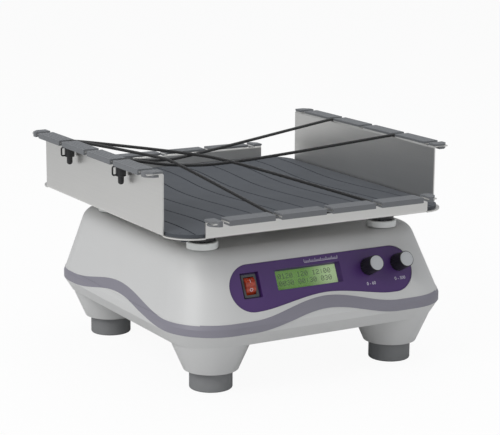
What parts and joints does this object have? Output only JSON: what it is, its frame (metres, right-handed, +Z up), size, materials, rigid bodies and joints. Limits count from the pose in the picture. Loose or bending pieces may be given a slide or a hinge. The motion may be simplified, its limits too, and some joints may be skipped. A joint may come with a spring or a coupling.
{
  "type": "orbital shaker",
  "caption": "Bench orbital shaker: a steel tray with mat and elastic hold-down cords circles on a belt-driven crank above a plastic housing with display, rocker switch and dials.",
  "frame": {"origin": "on the table, under the middle of the tray in its rest position", "axes": "+Z up, +X to the right along the front, +Y from the front panel to the back"},
  "size_m": [0.3222, 0.3382, 0.2087],
  "materials": {
    "housing": "light grey moulded plastic",
    "band": "grey-violet trim",
    "foot": "mid grey rubber",
    "steel": "brushed stainless steel",
    "mat": "dark grey rubber",
    "strip": "grey plastic",
    "panel": "violet panel face",
    "black": "black plastic",
    "cord": "black braided elastic",
    "white": "white acetal",
    "aluminium": "machined aluminium",
    "zinc": "steel",
    "iron": "cast weight",
    "belt": "black belt",
    "board": "green circuit board",
    "window": "clear window",
    "display": "yellow-green display",
    "rocker": "translucent orange-red",
    "cap": "pale grey",
    "spring": "spring steel"
  },
  "bodies": {
    "base": {"upper_housing": "housing", "trim_band": "band", "lower_housing": "housing", "rubber_feet": "foot", "foot_screws": "zinc", "support_pillars": "aluminium", "bearing_plate": "aluminium", "drive_bearing_housing": "aluminium", "base_bearings": "zinc", "idler_housings": "aluminium", "motor": "iron", "drive_belt": "belt", "power_supply": "zinc", "control_board": "board", "mains_inlet": "black", "small_screws": "zinc", "housing_screws": "zinc", "control_panel": "panel", "lcd_window": "window", "lcd_module": "display", "switch_frame": "black", "potentiometers": "zinc"},
    "drive_crank": {"drive_shaft": "zinc", "drive_pulley": "aluminium", "counterweight": "iron"},
    "motor_rotor": {"motor_shaft": "zinc", "motor_pulley": "aluminium"},
    "tray": {"tray_pan": "steel", "rubber_mat": "mat", "mat_rivets": "strip", "side_strips": "strip", "end_strips": "strip", "strip_end_caps": "strip", "tray_hub": "aluminium", "tray_bearings": "zinc", "corner_hubs": "black", "hub_screws": "zinc", "rear_cord": "cord", "front_cord": "cord", "cord_lock_rear": "black", "cord_lock_front": "black", "lock_spring_rear": "spring", "lock_spring_front": "spring"},
    "rocker": {"rocker_button": "rocker"},
    "left_dial": {"pot_shaft_left": "zinc", "knob_left": "black", "knob_cap_left": "cap"},
    "right_dial": {"pot_shaft_right": "zinc", "knob_right": "black", "knob_cap_right": "cap"},
    "plunger_rear": {"lock_plunger_rear": "black"},
    "plunger_front": {"lock_plunger_front": "black"},
    "idler_front_left": {"idler_cup_front_left": "white", "idler_pins_front_left": "zinc"},
    "idler_front_right": {"idler_cup_front_right": "white", "idler_pins_front_right": "zinc"},
    "idler_rear_left": {"idler_cup_rear_left": "white", "idler_pins_rear_left": "zinc"},
    "idler_rear_right": {"idler_cup_rear_right": "white", "idler_pins_rear_right": "zinc"}
  },
  "joints": [
    {"name": "drive_turn", "type": "hinge", "parent": "base", "child": "drive_crank", "pos_m": [0.00997, -0.00465, 0.09], "axis": [0, 0, 1], "continuous": true},
    {"name": "tray_turn", "type": "hinge", "parent": "drive_crank", "child": "tray", "pos_m": [0, 0, 0.142], "axis": [0, 0, 1], "continuous": true},
    {"name": "motor_turn", "type": "hinge", "parent": "base", "child": "motor_rotor", "pos_m": [-0.05203, 0.05135, 0.09], "axis": [0, 0, 1], "continuous": true},
    {"name": "idler_front_left_turn", "type": "hinge", "parent": "base", "child": "idler_front_left", "pos_m": [-0.08703, -0.11325, 0.115], "axis": [0, 0, 1], "continuous": true},
    {"name": "idler_front_right_turn", "type": "hinge", "parent": "base", "child": "idler_front_right", "pos_m": [0.10697, -0.11325, 0.115], "axis": [0, 0, 1], "continuous": true},
    {"name": "idler_rear_left_turn", "type": "hinge", "parent": "base", "child": "idler_rear_left", "pos_m": [-0.08703, 0.07075, 0.115], "axis": [0, 0, 1], "continuous": true},
    {"name": "idler_rear_right_turn", "type": "hinge", "parent": "base", "child": "idler_rear_right", "pos_m": [0.10697, 0.07075, 0.115], "axis": [0, 0, 1], "continuous": true},
    {"name": "rocker_tilt", "type": "hinge", "parent": "base", "child": "rocker", "pos_m": [-0.06353, -0.13437, 0.09682], "axis": [1, 0, 0], "range_deg": [0, 24]},
    {"name": "left_dial_turn", "type": "hinge", "parent": "base", "child": "left_dial", "pos_m": [0.06272, -0.13918, 0.10168], "axis": [0, -0.908, 0.4191], "range_deg": [-150, 150]},
    {"name": "right_dial_turn", "type": "hinge", "parent": "base", "child": "right_dial", "pos_m": [0.09647, -0.13918, 0.10168], "axis": [0, -0.908, 0.4191], "range_deg": [-150, 150]},
    {"name": "lock_rear_press", "type": "slide", "parent": "tray", "child": "plunger_rear", "axis": [0, 0, 1], "range_m": [0, 0.002], "stiffness_N_per_m": 600, "deforming": ["lock_spring_rear"]},
    {"name": "lock_front_press", "type": "slide", "parent": "tray", "child": "plunger_front", "axis": [0, 0, 1], "range_m": [0, 0.002], "stiffness_N_per_m": 600, "deforming": ["lock_spring_front"]}
  ],
  "couplings": [
    {"joint": "tray_turn", "follows": "drive_turn", "ratio": -1},
    {"joint": "motor_turn", "follows": "drive_turn", "ratio": 5},
    {"joint": "idler_front_left_turn", "follows": "drive_turn", "ratio": 1},
    {"joint": "idler_front_right_turn", "follows": "drive_turn", "ratio": 1},
    {"joint": "idler_rear_left_turn", "follows": "drive_turn", "ratio": 1},
    {"joint": "idler_rear_right_turn", "follows": "drive_turn", "ratio": 1}
  ]
}
